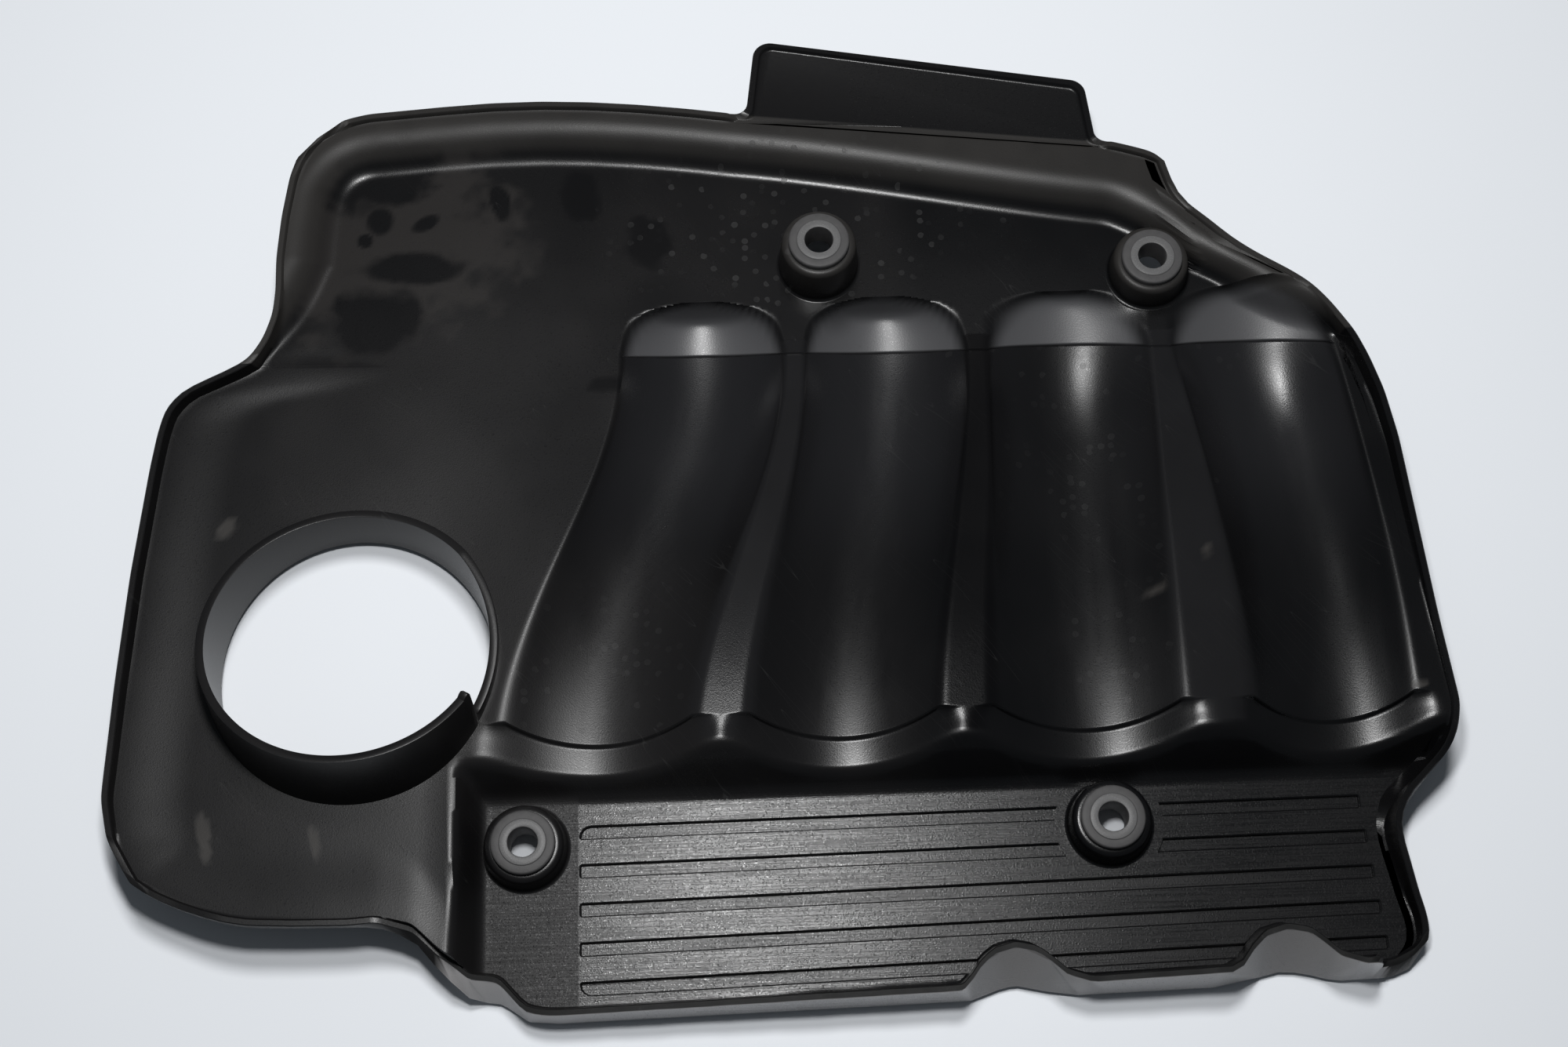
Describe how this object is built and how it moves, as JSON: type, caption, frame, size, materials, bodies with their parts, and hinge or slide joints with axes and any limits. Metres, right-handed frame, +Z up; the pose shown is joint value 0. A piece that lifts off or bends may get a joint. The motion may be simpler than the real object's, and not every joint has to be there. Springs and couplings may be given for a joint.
{
  "type": "engine cover",
  "caption": "Moulded plastic engine cover with runner channels, ribbed front panel, oil filler collar and rubber-bushed mounting bosses, lying inner side up.",
  "frame": {"origin": "centre of the bounding box in plan, on the table that the cover lies on", "axes": "+X across the runners, +Y to the rear tab, +Z up towards the engine side; the cover lies on its outer face"},
  "size_m": [0.5019, 0.3912, 0.0482],
  "materials": {
    "cover_plastic": "black glass-filled nylon as moulded, satin, with oil film, water spots and scuffs",
    "grommet_rubber": "dark grey moulded rubber, dulled by heat, rubbed shiny where a washer sat"
  },
  "bodies": {
    "root": {"cover": "cover_plastic", "grommet_rear_left": "grommet_rubber", "grommet_rear_right": "grommet_rubber", "grommet_front_left": "grommet_rubber", "grommet_front_right": "grommet_rubber"}
  },
  "joints": []
}
